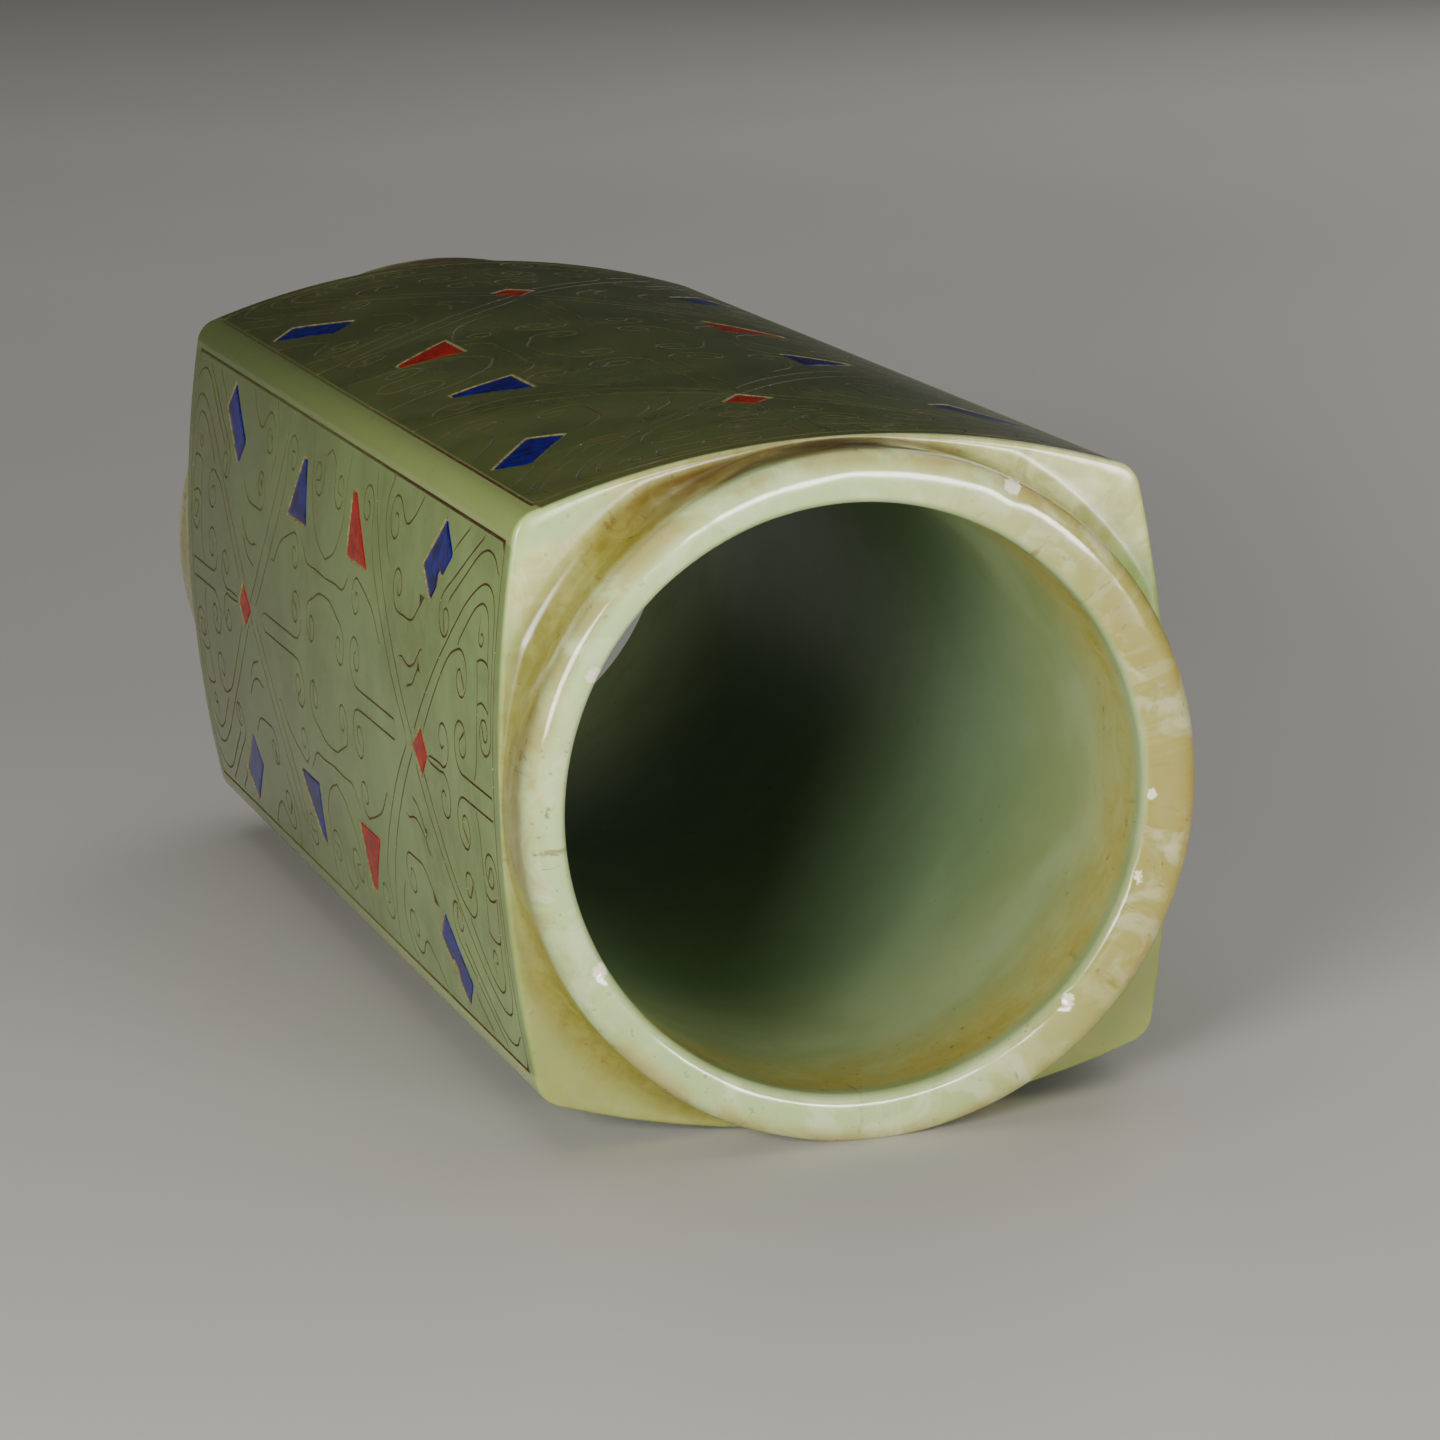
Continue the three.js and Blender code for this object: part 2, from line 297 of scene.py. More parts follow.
def end_rows(end):
    """Rings from the face's edge over the shoulder, collar and rim into the bore. end is -1 or 1."""
    half_body = BODY_LENGTH / 2
    rows = []

    def add(flat, along, aside=0.0):
        rows.append(row_at(flat, end * along, aside))

    add(SECTION, half_body - FACE_START)
    for turn in np.radians([0, 30, 60, 90]):
        inward = SOFT * (1 - math.cos(turn))
        out = -SOFT * (1 - math.sin(turn))
        add(SECTION - SECTION_NORMALS * inward[:, None], half_body + out)
    edge = SECTION - SECTION_NORMALS * SOFT[:, None]
    fillet_foot = DIRECTIONS * (COLLAR_RADIUS + FILLET)[:, None]
    for share in (0.25, 0.5, 0.75, 1.0):
        add(edge * (1 - share) + fillet_foot * share, half_body)
    for turn in np.radians([18, 36, 54, 72, 90]):
        radius = COLLAR_RADIUS + FILLET * (1 - math.sin(turn))
        out = FILLET * (1 - math.cos(turn))
        add(DIRECTIONS * radius[:, None], half_body + out)
    outer_centre = COLLAR_RADIUS - RIM_OUTER_ROUND
    inner_centre = BORE_RADIUS + RIM_INNER_ROUND
    sine, cosine = math.sin(RIM_CROWN_TILT), math.cos(RIM_CROWN_TILT)
    outer_end = outer_centre + RIM_OUTER_ROUND * sine
    inner_end = inner_centre - RIM_INNER_ROUND * sine
    crown_radius = (outer_end - inner_end) / (2 * sine)
    shoulder_line = HALF_LENGTH - crown_radius * (1 - cosine)
    side_start = half_body + FILLET
    side_end = shoulder_line - RIM_OUTER_ROUND * cosine
    for share in (0.33, 0.67):
        add(DIRECTIONS * COLLAR_RADIUS, side_start + (side_end - side_start) * share)
    for tilt in np.linspace(math.pi / 2, RIM_CROWN_TILT, 8):
        radius = outer_centre + RIM_OUTER_ROUND * math.sin(tilt)
        add(DIRECTIONS * radius, side_end + RIM_OUTER_ROUND * math.cos(tilt))
    for share in (0.2, 0.4, 0.6, 0.8):
        tilt = RIM_CROWN_TILT * (1 - 2 * share)
        radius = (outer_end + inner_end) / 2 + crown_radius * math.sin(tilt)
        out = HALF_LENGTH - crown_radius * (1 - math.cos(tilt))
        add(DIRECTIONS * radius, out, BORE_SHIFT * share)
    for tilt in np.linspace(RIM_CROWN_TILT, math.pi / 2, 8):
        radius = inner_centre - RIM_INNER_ROUND * math.sin(tilt)
        out = shoulder_line - RIM_INNER_ROUND * (cosine - math.cos(tilt))
        add(DIRECTIONS * radius, out, BORE_SHIFT)
    return rows


def bore_rows():
    reach = HALF_LENGTH - 2 * RIM_INNER_ROUND
    middle = np.linspace(-reach, reach, 44)
    return [row_at(DIRECTIONS * BORE_RADIUS, along, BORE_SHIFT) for along in middle]


# The incised pattern, for the half of a mask with across above nought, from the near mouth.
# A stroke is a list of (along, across) in millimetres on a flank face.

def smooth(points):
    """A soft curve through a few chosen points, divided evenly."""
    points = np.array(points, float)
    ends = np.vstack([2 * points[0] - points[1], points, 2 * points[-1] - points[-2]])
    curve = []
    for p0, p1, p2, p3 in zip(ends, ends[1:], ends[2:], ends[3:]):
        count = max(2, int(np.linalg.norm(p2 - p1) / LINE_STEP) + 1)
        for t in np.linspace(0, 1, count, endpoint=False):
            curve.append(0.5 * (2 * p1 + (p2 - p0) * t + (2 * p0 - 5 * p1 + 4 * p2 - p3) * t ** 2
                                + (3 * p1 - p0 - 3 * p2 + p3) * t ** 3))
    curve.append(points[-1])
    return np.array(curve)


def whorl(centre, first, last, start, sweep):
    """A spiral from its outer radius in: the angles are in degrees from along towards across."""
    count = max(8, int(abs(math.radians(sweep)) * (first + last) / 2 / LINE_STEP) + 6)
    turn = np.radians(start + sweep * np.linspace(0, 1, count))
    radius = np.linspace(first, last, count)
    return np.array(centre) + radius[:, None] * np.stack([np.cos(turn), np.sin(turn)], -1)


def scroll(tail, centre, first, last, sweep):
    """A line that runs into a spiral, which it meets along its first turn."""
    reach = np.array(tail[-1], float) - np.array(centre)
    distance = np.linalg.norm(reach)
    swing = math.degrees(math.acos(min(1.0, first / distance)))
    start = math.degrees(math.atan2(reach[1], reach[0])) + math.copysign(swing, sweep)
    spiral = whorl(centre, first, last, start, sweep)
    lead = smooth(list(tail) + [spiral[0]])
    return np.vstack([lead[:-1], spiral])


def mask_strokes():
    return [
        scroll([(2.9, 1.13), (8.0, 1.13), (12.2, 1.13)], (13.7, 4.2), 3.07, 0.55, 500),
        scroll([(28.0, 3.0), (24.6, 6.5), (21.2, 9.8), (18.2, 12.2)], (14.2, 10.6), 2.9, 0.6, 410),
        smooth([(15.0, 14.3), (10.8, 17.7), (8.8, 18.8), (7.1, 19.2), (5.7, 18.7), (5.0, 17.5),
                (4.8, 15.8), (4.6, 13.8)]),
        whorl((7.2, 15.9), 1.15, 0.35, 40, -330),
        smooth([(8.4, 13.4), (6.5, 13.9), (4.4, 13.5), (4.1, 11.4), (3.9, 9.2)]),
        smooth([(8.4, 13.4), (8.0, 11.3), (7.9, 9.2), (8.0, 5.8), (8.2, 3.4), (9.0, 1.7)]),
        smooth([(7.9, 9.2), (6.6, 9.7), (5.2, 9.6), (3.9, 9.1)]),
        scroll([(32.2, 1.9), (27.9, 6.0), (23.3, 10.2), (20.0, 12.9), (16.7, 15.6), (13.3, 18.2),
                (9.4, 20.4), (6.7, 21.2), (4.5, 20.7), (3.4, 18.9), (3.1, 15.6), (3.0, 10.5)],
               (5.2, 6.9), 2.4, 0.5, 500),
        smooth([(14.6, 25.2), (16.6, 24.0), (18.5, 22.8)]),
        scroll([(9.4, 25.2), (13.4, 22.8), (17.5, 20.2), (20.9, 18.2)], (20.6, 15.3), 2.5, 0.5, -430),
        smooth([(19.4, 17.4), (15.0, 20.3), (10.8, 23.1), (8.6, 24.1), (6.7, 24.4),
                (4.8, 24.0), (3.4, 22.9)]),
        scroll([(25.9, 0.35), (22.4, 0.4)], (21.0, 3.0), 2.75, 0.6, -400),
    ]


def cloud_strokes():
    """The scrolls between a mask and the middle of the face."""
    return [
        smooth([(33.9, 1.1), (38.0, 4.9), (42.6, 9.6), (46.4, 14.0), (49.8, 19.0),
                (51.6, 22.6), (52.2, 25.2)]),
        scroll([(36.8, 1.1), (41.0, 4.6), (45.6, 9.2), (49.6, 13.6), (52.2, 17.4)],
               (55.2, 21.0), 2.7, 0.6, -430),
        scroll([(41.5, 1.1), (50.0, 1.1), (56.6, 1.1)], (58.6, 4.3), 3.1, 0.55, 500),
        scroll([(30.5, 14.6), (33.4, 12.8), (37.2, 12.6)], (39.6, 15.2), 2.6, 0.55, 430),
        scroll([(32.4, 25.2), (35.2, 23.0), (38.2, 21.9)], (42.6, 21.4), 2.9, 0.6, -440),
        scroll([(47.4, 8.0), (50.6, 10.6), (54.0, 11.9)], (58.3, 10.6), 2.4, 0.55, -420),
        smooth([(29.6, 10.4), (32.0, 8.6), (34.6, 7.9), (37.4, 8.4)]),
        smooth([(30.6, 8.2), (32.8, 6.4), (35.0, 5.8)]),
        smooth([(45.2, 25.2), (46.8, 22.8), (46.6, 20.2), (44.9, 17.6)]),
        scroll([(73.5, 8.4), (70.6, 8.2), (67.6, 7.2)], (66.6, 4.1), 2.7, 0.55, 430),
        scroll([(73.5, 24.4), (71.2, 23.2)], (68.4, 20.9), 2.6, 0.55, -430),
        smooth([(64.4, 25.2), (65.2, 22.0), (66.0, 17.6), (69.2, 14.0), (73.5, 12.4)]),
        smooth([(62.4, 12.2), (64.8, 10.6), (68.8, 10.6), (73.5, 10.4)]),
    ]


# The strokes are drawn for this half arc and half length, with the nose here, and spread to fit others
PATTERN_HALF_ARC = 28.6
PATTERN_HALF_LENGTH = 73.5
PATTERN_NOSE = 29.8


def stone_nodes(face):
    return sorted(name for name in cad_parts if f"_{face.name}_" in name)


def node_points(name):
    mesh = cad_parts[name].data
    points = np.zeros(len(mesh.vertices) * 3)
    mesh.vertices.foreach_get("co", points)
    return points.reshape(-1, 3) / MM


def stone_outline(face, name):
    """The outline of a stone of the solid model, as (across, along), anticlockwise."""
    places = face.unroll(node_points(name))
    upper = places[places[:, 2] < STONE_THICKNESS / 2][:, :2]
    hull = []
    for i in convex_hull_2d([Vector(p) for p in upper]):
        if all(np.linalg.norm(upper[i] - met) > CORNER_GAP for met in hull[:1] + hull[-1:]):
            hull.append(upper[i])
    corners = []
    for before, point, after in zip(hull[-1:] + hull[:-1], hull, hull[1:] + hull[:1]):
        arriving, leaving = point - before, after - point
        turn = math.atan2(arriving[0] * leaving[1] - arriving[1] * leaving[0], arriving @ leaving)
        if abs(turn) > CORNER_TURN:
            corners.append(point)
    corners = np.array(corners)
    return corners if signed_area(corners) > 0 else corners[::-1]


def signed_area(outline):
    x, y = outline[:, 0], outline[:, 1]
    return 0.5 * float(np.sum(x * np.roll(y, -1) - np.roll(x, -1) * y))


def grown(outline, gap):
    """An outline moved outward by a gap, or inward where the gap is below nought."""
    arriving = unit(outline - np.roll(outline, 1, axis=0))
    leaving = unit(np.roll(outline, -1, axis=0) - outline)
    normal_a = np.stack([arriving[:, 1], -arriving[:, 0]], -1)
    normal_b = np.stack([leaving[:, 1], -leaving[:, 0]], -1)
    mitre = (normal_a + normal_b) / (1 + np.sum(normal_a * normal_b, axis=1))[:, None]
    return outline + gap * mitre


def partway(point, other, reach):
    """A point on the way to another, within 0.3 of the distance."""
    distance = np.linalg.norm(other - point)
    return point + (other - point) / distance * min(reach, 0.3 * distance)


def hand_cut(outline, seed, rounding=0.35, wobble=0.05, step=0.6):
    """An outline with its corners eased and its sides a little uneven, as hand-cut stone has."""
    eased = []
    count = len(outline)
    for i in range(count):
        before, point, after = outline[i - 1], outline[i], outline[(i + 1) % count]
        start, end = (partway(point, other, rounding) for other in (before, after))
        for t in (0.0, 0.5, 1.0):
            eased.append((1 - t) ** 2 * start + 2 * t * (1 - t) * point + t ** 2 * end)
    eased = np.array(eased)
    dense = []
    for point, following in zip(eased, np.roll(eased, -1, axis=0)):
        steps = max(1, int(round(np.linalg.norm(following - point) / step)))
        dense.extend(point + (following - point) * (k / steps) for k in range(steps))
    dense = np.array(dense)
    middle = dense.mean(axis=0)
    for i, point in enumerate(dense):
        shift = noise.noise(Vector((point[0] * 0.9, point[1] * 0.9, seed))) * wobble
        away = (point - middle) / np.linalg.norm(point - middle)
        dense[i] = point + away * (shift - wobble)
    return dense


def inside(outline, points):
    """Which points lie inside a closed outline."""
    x, y = points[:, 0], points[:, 1]
    result = np.zeros(len(points), bool)
    for (x0, y0), (x1, y1) in zip(outline, np.roll(outline, -1, axis=0)):
        if y0 == y1:
            continue
        crosses = (y0 > y) != (y1 > y)
        result ^= crosses & (x < (x1 - x0) * (y - y0) / (y1 - y0) + x0)
    return result


def pattern_on(face):
    """Every stroke on a face as (across, along)."""
    stretch_across = face.half_arc / PATTERN_HALF_ARC
    drawn_at = (0, PATTERN_NOSE, PATTERN_HALF_LENGTH)
    strokes = []
    for end in ("near", "far"):
        nose = face.unroll(node_points(f"coral_nose_{face.name}_{end}"))
        widest = float(nose[np.argmax(nose[:, 0]), 1])
        from_end = widest if end == "near" else BODY_LENGTH - widest
        for stroke in mask_strokes() + cloud_strokes():
            along = np.interp(stroke[:, 0], drawn_at, (0, from_end, BODY_LENGTH / 2))
            along = along if end == "near" else BODY_LENGTH - along
            for side in (1, -1):
                strokes.append(np.stack([stroke[:, 1] * stretch_across * side, along], -1))
    return strokes


def frame_on(face):
    x = face.half_arc - FRAME_INSET
    ends = (FRAME_INSET, BODY_LENGTH - FRAME_INSET)
    corners = [(-x, ends[0]), (x, ends[0]), (x, ends[1]), (-x, ends[1]), (-x, ends[0])]
    line = []
    for (x0, y0), (x1, y1) in zip(corners, corners[1:]):
        steps = max(1, int(max(abs(x1 - x0), abs(y1 - y0)) / FRAME_STEP))
        line.extend((x0 + (x1 - x0) * k / steps, y0 + (y1 - y0) * k / steps) for k in range(steps))
    line.append(line[0])
    return np.array(line)


def clipped(stroke, outlines, bounds_x, bounds_y):
    """The parts of a stroke that stay clear of the stones and inside the frame."""
    keep = np.ones(len(stroke), bool)
    for outline in outlines:
        keep &= ~inside(outline, stroke)
    keep &= np.abs(stroke[:, 0]) < bounds_x
    keep &= (stroke[:, 1] > bounds_y[0]) & (stroke[:, 1] < bounds_y[1])
    runs = np.split(np.arange(len(stroke)), np.where(keep[1:] != keep[:-1])[0] + 1)
    return [stroke[run] for run in runs if keep[run[0]] and len(run) > 2]


class PanelDrawing:
    """Points and edges of one face, to be divided into triangles."""

    def __init__(self):
        self.points = []
        self.edges = []

    def add(self, points, closed=False):
        first = len(self.points)
        self.points.extend(Vector((float(p[0]), float(p[1]))) for p in points)
        count = len(points)
        self.edges.extend((first + i, first + i + 1) for i in range(count - 1))
        if closed:
            self.edges.append((first + count - 1, first))
        return list(range(first, first + count))

    def add_groove(self, line, width, closed=False):
        if closed:
            line = line[:-1]
            ahead = np.roll(line, -1, axis=0) - np.roll(line, 1, axis=0)
        else:
            ahead = np.gradient(line, axis=0)
        ahead = unit(ahead)
        aside = np.stack([-ahead[:, 1], ahead[:, 0]], -1) * width / 2
        left, middle, right = (self.add(line + aside * k, closed) for k in (1, 0, -1))
        if not closed:
            for end in (0, -1):
                self.edges.append((left[end], middle[end]))
                self.edges.append((middle[end], right[end]))

    def divided(self):
        """The points and triangles of the drawing, and for each point which of those drawn it is."""
        result = delaunay_2d_cdt(self.points, self.edges, [], 0, 1e-5)
        flat = np.array([(v[0], v[1]) for v in result[0]])
        return flat, np.array([list(f) for f in result[2]]), result[3]


def groove_depth(points, lines):
    """How deep each point of a panel lies in the incised lines around it."""
    depth = np.zeros(len(points))
    starts = np.concatenate([line[:-1] for line, _, _ in lines])
    ends = np.concatenate([line[1:] for line, _, _ in lines])
    widths = np.concatenate([np.full(len(line) - 1, width) for line, width, _ in lines])
    depths = np.concatenate([np.full(len(line) - 1, deep) for line, _, deep in lines])
    run = ends - starts
    squared = np.maximum(np.sum(run ** 2, axis=1), 1e-9)
    order = np.argsort(points[:, 1])
    for chunk in np.array_split(order, max(1, len(points) // GROOVE_GROUP)):
        near = points[chunk]
        low, high = near[:, 1].min() - GROOVE_REACH, near[:, 1].max() + GROOVE_REACH
        pick = (np.minimum(starts[:, 1], ends[:, 1]) < high) & (np.maximum(starts[:, 1], ends[:, 1]) > low)
        if not pick.any():
            continue
        offset = near[:, None] - starts[pick][None]
        share = np.clip(np.sum(offset * run[pick], axis=2) / squared[pick], 0, 1)
        distance = np.linalg.norm(offset - share[..., None] * run[pick], axis=2)
        cut = depths[pick] * np.clip(1 - distance / (widths[pick] / 2), 0, 1)
        depth[chunk] = cut.max(axis=1)
    return depth


def make_panel(draft, face, ring_near, ring_far, side_low, side_high, stones):
    """One carved face between its edges, with pockets for its stones."""
    columns = np.linspace(-face.side, face.side, FACE_COLUMNS + 1)
    rows = np.linspace(FACE_START, BODY_LENGTH - FACE_START, STRIP_ROWS + 1)
    border = [(x, rows[0]) for x in columns]
    border_ids = list(ring_near)
    border += [(face.side, y) for y in rows[1:-1]]
    border_ids += list(side_high)
    border += [(x, rows[-1]) for x in columns[::-1]]
    border_ids += list(ring_far)[::-1]
    border += [(-face.side, y) for y in rows[1:-1][::-1]]
    border_ids += list(side_low)[::-1]
    drawing = PanelDrawing()
    drawing.add(border, closed=True)
    beds = [grown(stone["cad"], BEDDING_GAP) for stone in stones]
    bed_loops, pocket_loops = [], []
    for stone, bed in zip(stones, beds):
        bed = hand_cut(bed, stone["seed"], wobble=0.03)
        bed_loops.append(bed)
        pocket_loops.append(drawing.add(stone["outline"], closed=True))
        drawing.add(bed, closed=True)
    guards = [grown(stone["cad"], BEDDING_GAP + LINE_WIDTH) for stone in stones]
    frame_line = frame_on(face)
    inner_x = face.half_arc - FRAME_INSET - FRAME_WIDTH / 2 - FRAME_CLEARANCE
    near_limit = FRAME_INSET + FRAME_WIDTH / 2 + FRAME_CLEARANCE
    far_limit = BODY_LENGTH - FRAME_INSET - FRAME_WIDTH / 2 - FRAME_CLEARANCE
    lines = [(frame_line, FRAME_WIDTH, FRAME_DEPTH)]
    drawing.add_groove(frame_line, FRAME_WIDTH, closed=True)
    for stroke in pattern_on(face):
        for piece in clipped(stroke, guards, inner_x, (near_limit, far_limit)):
            lines.append((piece, LINE_WIDTH, LINE_DEPTH))
            drawing.add_groove(piece, LINE_WIDTH)
    spread_x = int(2 * face.side / PANEL_SPACING)
    spread_y = int(BODY_LENGTH / PANEL_SPACING)
    for i in range(1, spread_x):
        for j in range(1, spread_y):
            x = -face.side + 2 * face.side * i / spread_x
            y = rows[0] + (rows[-1] - rows[0]) * (j + 0.5 * (i % 2)) / (spread_y + 0.5)
            drawing.points.append(Vector((x, y)))
    flat, triangles, origins = drawing.divided()
    depth = groove_depth(flat, lines)
    centres = flat[triangles].mean(axis=1)
    in_bed = np.zeros(len(triangles), bool)
    in_pocket = np.zeros(len(triangles), bool)
    for stone, bed in zip(stones, bed_loops):
        near = np.linalg.norm(centres - bed.mean(axis=0), axis=1) < STONE_REACH
        picked = np.where(near)[0]
        in_bed[picked] |= inside(bed, centres[picked])
        in_pocket[picked] |= inside(stone["outline"], centres[picked])
    ids = np.full(len(flat), -1)
    places_of = {}
    for place, origin in enumerate(origins):
        for source in origin:
            places_of[source] = place
            if source < len(border):
                ids[place] = border_ids[source]
    bed_points = np.zeros(len(flat), bool)
    bed_points[np.unique(triangles[in_bed])] = True
    for bed in bed_loops:
        edge = np.array([np.linalg.norm(bed - p, axis=1).min() < 0.02 for p in flat[bed_points]])
        picked = np.where(bed_points)[0]
        bed_points[picked[edge]] = False
    depth = np.where(bed_points, BEDDING_DROP, depth)
    used = np.unique(triangles[~in_pocket])
    fresh = used[ids[used] < 0]
    ids[fresh] = draft.add_points(face.place(flat[fresh, 0], flat[fresh, 1], depth[fresh]))
    draft.mark(ids[fresh], "cut", np.where(bed_points[fresh], 0, np.clip(depth[fresh] / LINE_DEPTH, 0, 1)))
    normals = face.normal(flat[:, 0])
    normals = np.stack([normals[:, 0], np.zeros(len(flat)), normals[:, 1]], -1)
    positions = face.place(flat[:, 0], flat[:, 1], depth)
    for triangle, bed, pocket in zip(triangles, in_bed, in_pocket):
        if pocket:
            continue
        level = depth[triangle].max() < LEVEL
        if level:
            corner_normals = [tuple(normals[i]) for i in triangle]
        else:
            a, b, c = positions[triangle]
            across = np.cross(b - a, c - a)
            length = np.linalg.norm(across)
            facing = across / length if length > 1e-12 else normals[triangle[0]]
            facing = facing if facing @ normals[triangle[0]] > 0 else -facing
            corner_normals = [tuple(facing)] * 3
        corners = ids[triangle]
        slot = 1 if bed else 0
        draft.add_oriented(corners, positions[triangle], normals[triangle[0]], slot, corner_normals)
    for loop in pocket_loops:
        rim = [places_of[i] for i in loop]
        add_pocket(draft, face, ids[rim], positions[rim], flat[rim])


def add_pocket(draft, face, rim_ids, rim_points, rim_flat):
    """The walls and floor of the recess for one stone."""
    floor_depth = STONE_THICKNESS + STONE_SINK
    floor_points = face.place(rim_flat[:, 0], rim_flat[:, 1], floor_depth)
    floor_ids = draft.add_points(floor_points)
    hub_point = face.place(*rim_flat.mean(axis=0), floor_depth)
    hub = draft.add_points(hub_point)[0]
    for i in range(len(rim_ids)):
        j = (i + 1) % len(rim_ids)
        wall = np.array([rim_points[i], rim_points[j], floor_points[j]])
        corners = (rim_ids[i], rim_ids[j], floor_ids[j], floor_ids[i])
        draft.add_oriented(corners, wall, hub_point - wall[2], 1)
        floor = np.array([floor_points[i], floor_points[j], hub_point])
        draft.add_oriented((floor_ids[i], floor_ids[j], hub), floor, face.facing, 1)


def make_stone(face, stone, materials):
    """A stone flush with the face, its upper edge eased by the polishing."""
    draft = MeshDraft()
    outline = stone["outline"]
    middle = outline.mean(axis=0)
    away = unit(outline - middle)
    top_loop = outline - away * STONE_ROUNDING
    drawing = PanelDrawing()
    loop = drawing.add(top_loop, closed=True)
    low, high = top_loop.min(axis=0), top_loop.max(axis=0)
    for x in np.arange(low[0] + 0.3, high[0], STONE_SPACING):
        for y in np.arange(low[1] + 0.3, high[1], STONE_SPACING):
            if inside(grown(top_loop, -0.25), np.array([[x, y]]))[0]:
                drawing.points.append(Vector((x, y)))
    flat, triangles, origins = drawing.divided()
    triangles = triangles[inside(top_loop, flat[triangles].mean(axis=1))]
    uneven = np.array([
        STONE_UNEVEN * noise.noise(Vector((x * 0.8, y * 0.8, stone["seed"]))) for x, y in flat
    ])
    depth = STONE_SINK + np.clip(STONE_UNEVEN + uneven, 0, None)
    positions = face.place(flat[:, 0], flat[:, 1], depth)
    ids = draft.add_points(positions)
    for triangle in triangles:
        draft.add_oriented(ids[triangle], positions[triangle], face.facing)
    place_of = {source: i for i, origin in enumerate(origins) for source in origin}
    rim = [ids[place_of[i]] for i in loop]
    rings = [rim]
    for inset, deep in ((0.35, 0.35), (0.0, 1.0)):
        ring = outline - away * (STONE_ROUNDING * inset + STONE_CLEARANCE)
        places = face.place(ring[:, 0], ring[:, 1], STONE_SINK + STONE_ROUNDING * deep)
        rings.append(draft.add_points(places))
    foot = outline - away * STONE_CLEARANCE
    rings.append(draft.add_points(face.place(foot[:, 0], foot[:, 1], STONE_THICKNESS)))
    hub = draft.add_points(face.place(middle[0], middle[1], STONE_THICKNESS))[0]
    count = len(outline)
    points = np.concatenate(draft.points)
    centre = face.place(middle[0], middle[1], STONE_THICKNESS / 2)
    for upper, lower in zip(rings, rings[1:]):
        for i in range(count):
            j = (i + 1) % count
            corners = (upper[i], upper[j], lower[j], lower[i])
            draft.add_oriented(corners, points[list(corners)[:3]], points[upper[i]] - centre)
    for i in range(count):
        corners = (rings[-1][i], rings[-1][(i + 1) % count], hub)
        draft.add_oriented(corners, points[list(corners)], -face.facing)
    thing = draft.build(stone["name"] + "_cut", materials)
    thing.data.set_sharp_from_angle(angle=math.radians(50))
    return thing


# A stone that has lost a piece: the middle of the loss as (across, along) and how far it reaches
BITES = {
    "lapis_eye_left_near_a": [((18.4, 26.8), 0.95)],
    "lapis_eye_left_near_b": [((-22.2, 29.4), 1.15)],
    "lapis_wedge_top_near_a": [((17.4, 62.6), 1.0)],
}


def stones_on(face):
    stones = []
    for seed, name in enumerate(stone_nodes(face)):
        cad = stone_outline(face, name)
        outline = hand_cut(cad, seed * 3.7 + face.radius, step=0.45)
        for centre, reach in BITES.get(name, []):
            offset = outline - np.array(centre)
            distance = np.linalg.norm(offset, axis=1)
            bitten = distance < reach
            inward = np.array(outline.mean(axis=0) - np.array(centre))
            inward /= np.linalg.norm(inward)
            pushed = np.sqrt(np.maximum(reach ** 2 - (distance * 0.8) ** 2, 0))
            outline[bitten] += inward * pushed[bitten][:, None]
        stones.append({"name": name, "cad": cad, "outline": outline, "seed": seed * 1.3 + face.radius})
    return stones


def add_corner_strip(draft, ring_near, ring_far, low, high):
    """The rounded corner between two faces. Gives the points down its two long sides."""
    columns = [(low + step) % len(SECTION) for step in range(CORNER_COLUMNS + 1)]
    rows = [ring_near[columns]]
    for along in np.linspace(FACE_START, BODY_LENGTH - FACE_START, STRIP_ROWS + 1)[1:-1]:
        rows.append(draft.add_points(row_at(SECTION[columns], along - BODY_LENGTH / 2)))
    rows.append(ring_far[columns])
    for upper, lower in zip(rows, rows[1:]):
        for i in range(CORNER_COLUMNS):
            draft.add_face((upper[i], upper[i + 1], lower[i + 1], lower[i]))
    assert columns[-1] == high % len(SECTION)
    return [row[0] for row in rows[1:-1]], [row[-1] for row in rows[1:-1]]


# Knocks on the near mouth: the angle from the right, how far from the axis, the reach and the depth
KNOCKS = [
    (-48, BORE_RADIUS + 0.4, 1.0, 0.35),
    (-4, BORE_RADIUS + 0.1, 0.8, 0.25),
    (-20, BORE_RADIUS + 0.1, 0.8, 0.25),
    (151, BORE_RADIUS + 1.5, 1.2, 0.2),
    (207, BORE_RADIUS + 1.7, 1.2, 0.2),
    (62, COLLAR_RADIUS - 0.8, 1.3, 0.25),
]
KNOCK_DEEPEST = 2.5

# The wear grows over the first stretch out from the shoulder, and is less on the collar's outer wall
WEAR_DEPTH = 0.10
WEAR_START = 0.8
WALL_BAND = 0.4
WALL_WEAR = 0.6


